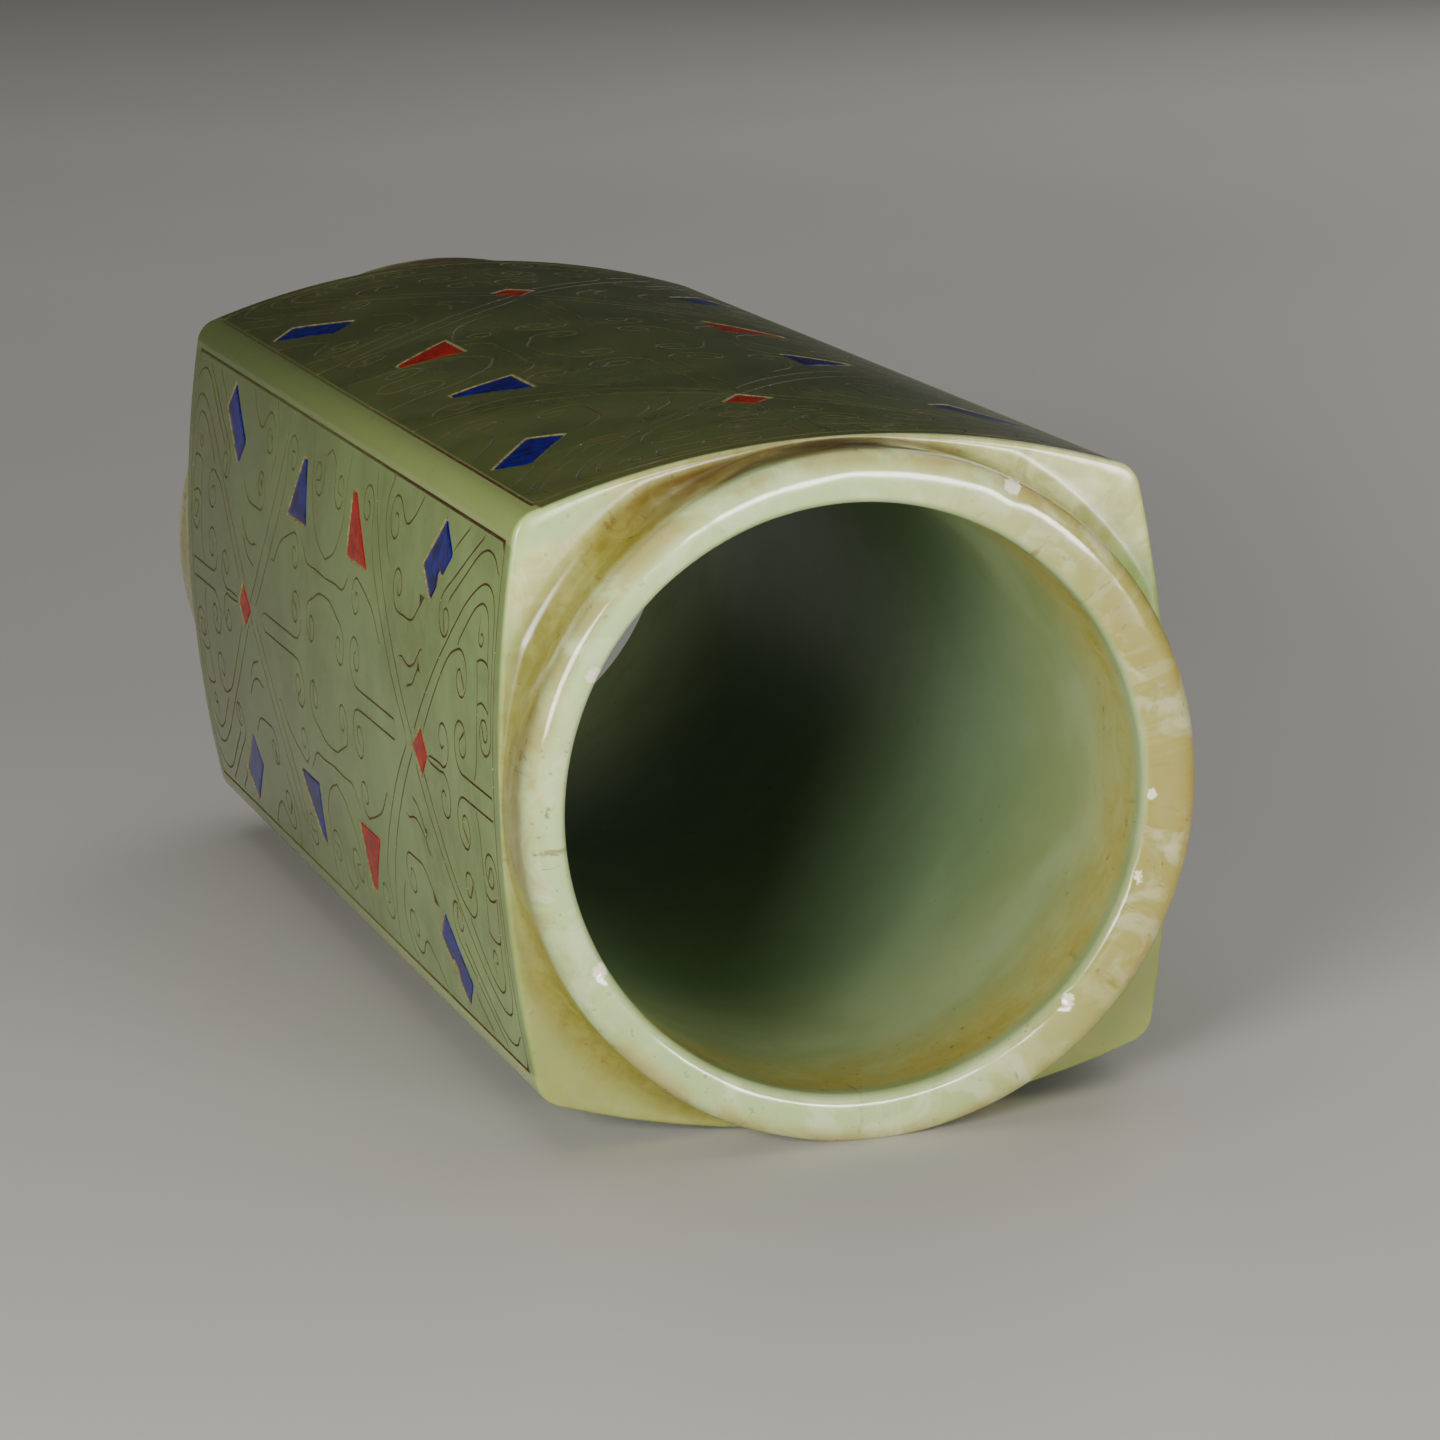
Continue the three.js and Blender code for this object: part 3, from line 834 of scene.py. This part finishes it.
def worn(points):
    """The ends as they are worn, with soft waves and small knocks inwards, and where the knocks are."""
    points = points.copy()
    chips = np.zeros(len(points))
    out = np.abs(points[:, 1]) - BODY_LENGTH / 2
    for i in np.where(out > -0.1)[0]:
        x, y, z = points[i]
        radius = math.hypot(x, z - REST_LEVEL)
        wave = 0.5 + noise.noise(Vector((x, y * 0.5, z)) * 0.16)
        ease = min(1.0, max(0.0, out[i] / WEAR_START))
        sink = WEAR_DEPTH * wave * ease
        if y < 0:
            for angle, distance, reach, deep in KNOCKS:
                spot = Vector((math.cos(math.radians(angle)), math.sin(math.radians(angle)))) * distance
                away = (Vector((x, z - REST_LEVEL)) - spot).length / reach
                if away < 1 and out[i] > COLLAR_HEIGHT - KNOCK_DEEPEST:
                    sink += deep * (1 - away ** 2) ** 2
                    chips[i] = max(chips[i], 1 - away ** 2)
        if radius < COLLAR_RADIUS - WALL_BAND:
            points[i][1] -= math.copysign(sink, y)
        elif out[i] > WALL_BAND:
            shrink = 1 - sink * WALL_WEAR / radius
            points[i][0] *= shrink
            points[i][2] = REST_LEVEL + (z - REST_LEVEL) * shrink
    return points, chips


def make_body(stones, materials):
    draft = MeshDraft()
    near, far = [], []
    for rings, end in ((near, -1), (far, 1)):
        for row in end_rows(end):
            points, chips = worn(row)
            rings.append(draft.add_points(points))
            draft.mark(rings[-1], "chip", chips)
    bore = [draft.add_points(row) for row in bore_rows()]
    draft.add_ring_grid(near + bore + far[::-1])
    sides_high, sides_low = {}, {}
    for index, face in enumerate(FACES):
        following = FACES[(index + 1) % 4]
        high, low = SPANS[index][1], SPANS[(index + 1) % 4][0]
        sides = add_corner_strip(draft, near[0], far[0], high, low)
        sides_high[face.name], sides_low[following.name] = sides
    for face, (start, end) in zip(FACES, SPANS):
        span = slice(start, end + 1)
        sides = sides_low[face.name], sides_high[face.name]
        make_panel(draft, face, near[0][span], far[0][span], *sides, stones[face.name])
    return draft.build("jade_body_carved", materials)


# Materials

def colour(red, green, blue):
    """A colour as a screen shows it, given as linear light."""
    parts = np.array([red, green, blue]) / 255
    linear = np.where(parts <= 0.04045, parts / 12.92, ((parts + 0.055) / 1.055) ** 2.4)
    return (*linear.tolist(), 1.0)


class Finish:
    """A material, with short ways to add to its nodes. Places in it are in millimetres."""

    def __init__(self, name, settings):
        self.material = bpy.data.materials.new(name)
        self.material.use_nodes = True
        self.tree = self.material.node_tree
        self.surface = self.tree.nodes["Principled BSDF"]
        for socket, value in settings.items():
            self.surface.inputs[socket].default_value = value
        coords = self.add("ShaderNodeTexCoord").outputs["Object"]
        self.place = self.vector("MULTIPLY", coords, (1 / MM,) * 3)

    def add(self, kind, inputs=(), **settings):
        node = self.tree.nodes.new(kind)
        for name, value in settings.items():
            setattr(node, name, value)
        pairs = inputs.items() if isinstance(inputs, dict) else enumerate(inputs)
        for socket, value in pairs:
            if isinstance(value, bpy.types.NodeSocket):
                self.tree.links.new(value, node.inputs[socket])
            else:
                node.inputs[socket].default_value = value
        return node

    def maths(self, operation, *values, clamp=False):
        return self.add("ShaderNodeMath", values, operation=operation, use_clamp=clamp).outputs[0]

    def plus(self, *values, **settings):
        return self.maths("ADD", *values, **settings)

    def less(self, *values):
        return self.maths("SUBTRACT", *values)

    def times(self, *values):
        total = values[0]
        for value in values[1:]:
            total = self.maths("MULTIPLY", total, value)
        return total

    def vector(self, operation, *values):
        node = self.add("ShaderNodeVectorMath", values, operation=operation)
        return node.outputs["Value" if operation == "LENGTH" else "Vector"]

    def noise(self, scale, detail=3, roughness=0.5, distortion=0.0, place=None):
        inputs = {
            "Vector": place or self.place, "Scale": scale, "Detail": detail,
            "Roughness": roughness, "Distortion": distortion,
        }
        return self.add("ShaderNodeTexNoise", inputs).outputs["Fac"]

    def ramp(self, value, low, high, top=1.0):
        """Nought below low and top above high, or the other way round where low is the larger."""
        inputs = {"Value": value, "From Min": low, "From Max": high, "To Max": top}
        node = self.add("ShaderNodeMapRange", inputs, interpolation_type="SMOOTHSTEP", clamp=True)
        return node.outputs["Result"]

    def mix(self, share, under, over):
        """One colour over another, each a socket or (red, green, blue). Several shares are multiplied."""
        share = self.times(*share) if isinstance(share, tuple) else share
        under, over = (colour(*c) if isinstance(c, tuple) else c for c in (under, over))
        return self.add("ShaderNodeMix", {0: share, 6: under, 7: over}, data_type="RGBA").outputs[2]

    def attribute(self, name):
        return self.add("ShaderNodeAttribute", attribute_name=name).outputs["Fac"]

    def shine(self, socket, value):
        self.tree.links.new(value, self.surface.inputs[socket])

    def bump(self, heights):
        """Heights as (noise, millimetres), one bump after another."""
        normal = None
        for height, size in heights:
            inputs = {"Height": height, "Distance": size * MM}
            if normal:
                inputs["Normal"] = normal
            normal = self.add("ShaderNodeBump", inputs).outputs["Normal"]
        self.shine("Normal", normal)


def jade_finish():
    jade = Finish("jade_polished", {
        "IOR": 1.6,
        "Specular IOR Level": 0.38,
        "Subsurface Weight": 0.55,
        "Subsurface Radius": (1.0, 1.0, 0.62),
        "Subsurface Scale": 0.0035,
    })
    x, y, z = jade.add("ShaderNodeSeparateXYZ", [jade.place]).outputs
    upright = jade.less(z, REST_LEVEL)
    flat = jade.add("ShaderNodeCombineXYZ", [x, 0.0, upright]).outputs[0]
    radius = jade.vector("LENGTH", flat)
    bore_radius = jade.vector("LENGTH", jade.vector("SUBTRACT", flat, (BORE_SHIFT, 0, 0)))
    inward_from_end = jade.less(HALF_LENGTH, jade.maths("ABSOLUTE", y))
    out = jade.less(COLLAR_HEIGHT, inward_from_end)
    inset_x = jade.less(CORNER_X, jade.maths("ABSOLUTE", x))
    inset_z = jade.less(CORNER_Z, jade.maths("ABSOLUTE", upright))
    inset = jade.maths("MAXIMUM", inset_x, inset_z)

    # A place for streaks that run out from the axis, the same all round
    around = jade.vector("MULTIPLY", jade.vector("NORMALIZE", flat), (COLLAR_RADIUS,) * 3)
    drift = jade.times(jade.plus(radius, inward_from_end), 0.28)
    lengthways = jade.add("ShaderNodeCombineXYZ", [0.0, drift, 0.0]).outputs[0]
    streaks = jade.vector("ADD", around, lengthways)

    shoulder = jade.ramp(out, -0.5, 0.05)
    ridge = jade.ramp(inset, 2.75, 2.35)
    bore = jade.ramp(bore_radius, BORE_RADIUS + 0.7, BORE_RADIUS + 0.1)
    rim = jade.times(jade.ramp(radius, COLLAR_RADIUS + 1.0, COLLAR_RADIUS + 0.2), jade.ramp(out, 2.0, 4.0))

    clouds = jade.ramp(jade.noise(0.055, 4, 0.55, 0.6), 0.34, 0.66)
    curds = jade.ramp(jade.noise(0.35, 4, 0.6, 0.4), 0.38, 0.70)
    grain = jade.noise(2.2, 3, 0.6)
    face = jade.mix(clouds, (116, 138, 66), (136, 162, 90))
    face = jade.mix((curds, 0.35), face, (150, 168, 100))
    # Painted shade: the top face is mixed towards a darker olive, standing in for the dimmer light the top
    # gets.
    painted_top_shade = jade.ramp(upright, CORNER_Z - 1.5, CORNER_Z + 1.0)
    # Painted shade: the faces darken towards the far end, standing in for the light falling off along the
    # tube.
    painted_far_shade = jade.ramp(y, -80.0, 70.0)
    face = jade.mix((painted_far_shade, 0.7), face, (88, 96, 42))
    shaded_top_olive = jade.mix(clouds, (72, 78, 32), (90, 96, 44))
    face = jade.mix((painted_top_shade, 0.85), face, shaded_top_olive)
    # The corner ridges are pale mint at the near end and carry the same painted shade, darker towards the
    # far end.
    ridge_tone_with_far_shade = jade.mix(painted_far_shade, (168, 184, 110), (112, 126, 72))
    face = jade.mix((ridge, 0.85), face, ridge_tone_with_far_shade)
    pale_green = jade.mix(clouds, (162, 188, 112), (184, 206, 140))
    pale_cream = jade.mix(curds, (188, 192, 120), (216, 220, 158))
    mint = jade.ramp(jade.noise(0.07, 3, 0.5, 0.5), 0.42, 0.58)
    ends = jade.mix(mint, pale_cream, pale_green)
    lower_part = jade.ramp(upright, 8.0, -26.0)
    ends = jade.mix((lower_part, 0.8), ends, (128, 130, 70))
    ends = jade.mix((rim, 0.65), ends, (184, 208, 150))
    warm_side = jade.ramp(x, -2.0, 30.0)
    ends = jade.mix((warm_side, rim, 0.9), ends, (154, 142, 68))
    streaked = jade.ramp(jade.noise(0.30, 5, 0.6, 0.5, streaks), 0.50, 0.64)
    ends = jade.mix((streaked, rim, 0.22), ends, (210, 208, 168))
    ends = jade.mix(jade.times(streaked, jade.less(1.0, rim), 0.4), ends, (150, 148, 76))
    milk = jade.ramp(jade.noise(0.16, 4, 0.55, 0.8), 0.50, 0.62)
    ends = jade.mix((milk, rim, 0.3), ends, (222, 228, 198))
    outer_zone = jade.times(jade.ramp(radius, COLLAR_RADIUS - 2.4, COLLAR_RADIUS - 0.6), rim)
    tan = jade.ramp(jade.noise(0.12, 4, 0.6, 0.6), 0.40, 0.60)
    ends = jade.mix((outer_zone, tan, 0.65), ends, (160, 138, 74))
    body = jade.mix(shoulder, face, ends)
    inside = jade.mix(clouds, (148, 164, 108), (166, 182, 134))
    # Painted shade: the bore is darker deeper in from the mouth, standing in for the shade inside the
    # tube.
    deep = jade.ramp(inward_from_end, 14.0, 50.0)
    inside = jade.mix((deep, 0.8), inside, (106, 132, 98))
    body = jade.mix(bore, body, inside)

    # Iron stain along the root of the collar and just inside the mouth
    patches = jade.ramp(jade.noise(0.085, 4, 0.6, 0.8), 0.36, 0.60)
    fine = jade.ramp(jade.noise(0.5, 4, 0.65, 0.5), 0.30, 0.72)
    right_side = jade.ramp(x, 2.0, 20.0)
    band = jade.less(7.4, jade.times(right_side, 4.6))
    spread = jade.less(5.0, jade.times(right_side, 4.0))
    beyond = jade.less(jade.less(radius, COLLAR_RADIUS), spread)
    root = jade.times(
        jade.ramp(beyond, 0.0, -4.0),
        jade.ramp(out, -0.4, 0.3),
        jade.ramp(jade.less(out, band), 0.0, -2.2),
        jade.ramp(bore_radius, BORE_RADIUS + 2.0, BORE_RADIUS + 3.0),
    )
    ochre = jade.mix(fine, (140, 130, 50), (164, 158, 78))
    brown_top = jade.ramp(upright, COLLAR_RADIUS - 9, COLLAR_RADIUS - 2)
    ochre = jade.mix((brown_top, 0.9), ochre, (104, 76, 26))
    body = jade.mix(jade.times(root, jade.plus(0.66, jade.times(patches, 0.32))), body, ochre)
    lip = jade.times(jade.ramp(inward_from_end, 1.6, 3.4), jade.ramp(inward_from_end, 20.0, 4.0), bore)
    gold = jade.mix(fine, (182, 174, 84), (198, 194, 116))
    gold = jade.mix((patches, 0.35), gold, (160, 132, 44))
    near_end = jade.ramp(y, 40.0, -20.0)
    body = jade.mix(jade.times(lip, near_end, jade.plus(0.6, jade.times(patches, 0.35))), body, gold)

    # Brown specks and short veins near the mouths, and a few on the faces
    specks = jade.ramp(jade.noise(0.75, 3, 0.7), 0.64, 0.72)
    specks = jade.times(specks, patches, jade.maths("MAXIMUM", lip, jade.times(rim, 0.6)))
    veins = jade.ramp(jade.noise(0.62, 4, 0.65, 0.3, streaks), 0.61, 0.72)
    veins = jade.times(veins, jade.maths("MAXIMUM", jade.times(patches, rim), root), 0.6)
    dots = jade.times(jade.ramp(jade.noise(0.9, 2, 0.6), 0.70, 0.76), 0.35)
    brown = (104, 70, 26)
    body = jade.mix(jade.maths("MAXIMUM", specks, veins), body, brown)
    body = jade.mix(dots, body, (84, 74, 44))

    # Chips at the mouth are whitish
    chip = jade.attribute("chip")
    ragged = jade.plus(chip, jade.times(jade.noise(1.3, 3, 0.65), 1.3))
    chipped = jade.times(jade.ramp(ragged, 1.05, 1.3), jade.ramp(chip, 0.02, 0.2))
    body = jade.mix(chipped, body, (236, 232, 206))

    # The incised lines hold dark dirt with a few bright grains
    cut = jade.attribute("cut")
    dirt = jade.ramp(cut, 0.0, 0.22)
    grit = jade.ramp(jade.noise(3.4, 2, 0.5), 0.70, 0.74)
    worn_line = jade.ramp(jade.noise(0.22, 3, 0.6), 0.26, 0.44)
    line = jade.mix(grit, (74, 48, 16), (225, 220, 200))
    kept = jade.plus(0.78, jade.times(worn_line, 0.2))
    fresh = jade.ramp(y, 10.0, -50.0, 0.35)
    body = jade.mix(jade.times(dirt, kept, jade.plus(0.65, fresh)), body, line)
    jade.shine("Base Color", body)

    polish = jade.plus(0.17, jade.times(jade.noise(0.4, 3, 0.6), 0.08))
    polish = jade.less(polish, jade.times(rim, 0.08))
    polish = jade.plus(polish, jade.times(bore, 0.22))
    jade.shine("Roughness", jade.plus(polish, jade.times(dirt, 0.5), clamp=True))
    jade.bump([(jade.noise(0.22, 2, 0.5), 0.05), (grain, 0.0012)])
    return jade.material


def bedding_finish():
    paste = Finish("bedding_paste", {"IOR": 1.45, "Specular IOR Level": 0.35})
    lumps = paste.noise(3.0, 3, 0.6)
    body = paste.mix(paste.ramp(lumps, 0.35, 0.65), (120, 112, 62), (168, 158, 106))
    dark = paste.ramp(paste.noise(0.9, 3, 0.6), 0.52, 0.66)
    paste.shine("Base Color", paste.mix((dark, 0.7), body, (84, 64, 28)))
    paste.shine("Roughness", paste.plus(0.5, paste.times(lumps, 0.3)))
    paste.bump([(lumps, 0.05)])
    return paste.material


def lapis_finish():
    lapis = Finish("lapis_lazuli", {"IOR": 1.45, "Specular IOR Level": 0.12})
    depth = lapis.ramp(lapis.noise(0.5, 4, 0.65, 0.6), 0.32, 0.68)
    body = lapis.mix(depth, (6, 4, 62), (20, 18, 138))
    flecks = lapis.ramp(lapis.noise(4.2, 2, 0.6), 0.68, 0.73)
    body = lapis.mix((flecks, 0.5), body, (90, 100, 200))
    threads = lapis.ramp(lapis.noise(1.6, 4, 0.7, 1.2), 0.62, 0.70)
    lapis.shine("Base Color", lapis.mix((threads, 0.25), body, (48, 54, 150)))
    lapis.shine("Roughness", lapis.plus(0.18, lapis.times(flecks, 0.3)))
    lapis.bump([(lapis.noise(1.2, 3, 0.6), 0.012)])
    return lapis.material


def coral_finish():
    coral = Finish("red_coral", {
        "IOR": 1.48, "Specular IOR Level": 0.12, "Subsurface Weight": 0.15,
        "Subsurface Radius": (1.0, 0.35, 0.2), "Subsurface Scale": 0.0010,
    })
    bands = coral.ramp(coral.noise(0.55, 4, 0.6, 0.8), 0.32, 0.68)
    body = coral.mix(bands, (138, 16, 4), (180, 40, 12))
    pores = coral.ramp(coral.noise(3.6, 2, 0.6), 0.66, 0.72)
    coral.shine("Base Color", coral.mix((pores, 0.5), body, (110, 28, 14)))
    coral.shine("Roughness", coral.plus(0.24, coral.times(pores, 0.3)))
    coral.bump([(coral.noise(1.4, 3, 0.6), 0.015)])
    return coral.material


def floor_finish():
    paper = Finish("pale_floor", {"Specular IOR Level": 0.3})
    tone = paper.noise(0.004, 2, 0.5)
    paper.shine("Base Color", paper.mix(tone, (205, 203, 198), (214, 212, 208)))
    paper.shine("Roughness", paper.plus(0.45, paper.times(tone, 0.1)))
    return paper.material


# The object

finishes = {"jade": jade_finish(), "lapis": lapis_finish(), "coral": coral_finish()}
stones = {face.name: stones_on(face) for face in FACES}
body = make_body(stones, [finishes["jade"], bedding_finish()])
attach(body, "root")
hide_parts("jade_body")
for face in FACES:
    for stone in stones[face.name]:
        kind = stone["name"].split("_")[0]
        piece = make_stone(face, stone, [finishes[kind]])
        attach(piece, "root")
        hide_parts(stone["name"])


# Floor, light and camera

FLOOR_REACH = 6.0
bpy.ops.mesh.primitive_plane_add(size=FLOOR_REACH, location=(0, FLOOR_REACH / 4, 0))
floor = bpy.context.object
floor.name = "floor"
floor.data.materials.append(floor_finish())

world = bpy.data.worlds.new("studio")
world.use_nodes = True
world.node_tree.nodes["Background"].inputs["Color"].default_value = (0.9, 0.95, 1.0, 1)
world.node_tree.nodes["Background"].inputs["Strength"].default_value = 0.035
bpy.context.scene.world = world

# A point on the axis, a little nearer than the middle, which the lights look at
FOCUS = Vector((0, -0.02, REST_LEVEL * MM))


def soft_light(name, place, wide, high, watts, tint=(1.0, 0.98, 0.95)):
    lamp = bpy.data.lights.new(name, "AREA")
    lamp.shape = "RECTANGLE"
    lamp.size, lamp.size_y = wide, high
    lamp.energy = watts
    lamp.color = tint
    thing = bpy.data.objects.new(name, lamp)
    thing.location = place
    thing.rotation_euler = (FOCUS - Vector(place)).to_track_quat("-Z", "Y").to_euler()
    bpy.context.scene.collection.objects.link(thing)


soft_light("key", (-0.37, -0.52, 0.18), 0.20, 0.20, 3.7)
soft_light("low_strip", (0.27, -0.80, 0.075), 0.34, 0.09, 4.6)
soft_light("overhead", (0.20, 0.50, 1.90), 2.2, 2.2, 13.0)
soft_light("back_fill", (0.70, 0.90, 0.50), 0.5, 0.5, 1.2)

YAW, PITCH, ROLL = (math.radians(angle) for angle in (15.71, 11.61, -2.19))
CAMERA_PLACE = Vector((-0.1545, -0.5854, 0.1492))
FOCAL_LENGTH = 140.0
SENSOR = 36.0

ahead = Vector((math.sin(YAW) * math.cos(PITCH), math.cos(YAW) * math.cos(PITCH), -math.sin(PITCH)))
level = Vector((math.cos(YAW), -math.sin(YAW), 0))
above = level.cross(ahead)
right = level * math.cos(ROLL) + above * math.sin(ROLL)
up = above * math.cos(ROLL) - level * math.sin(ROLL)

camera_data = bpy.data.cameras.new("camera")
camera_data.lens = FOCAL_LENGTH
camera_data.sensor_width = SENSOR
camera_data.clip_start = 0.01
camera_data.clip_end = 20.0
camera = bpy.data.objects.new("camera", camera_data)
turned = Matrix((right, up, -ahead)).transposed().to_4x4()
camera.matrix_world = Matrix.Translation(CAMERA_PLACE) @ turned
bpy.context.scene.collection.objects.link(camera)
bpy.context.scene.camera = camera
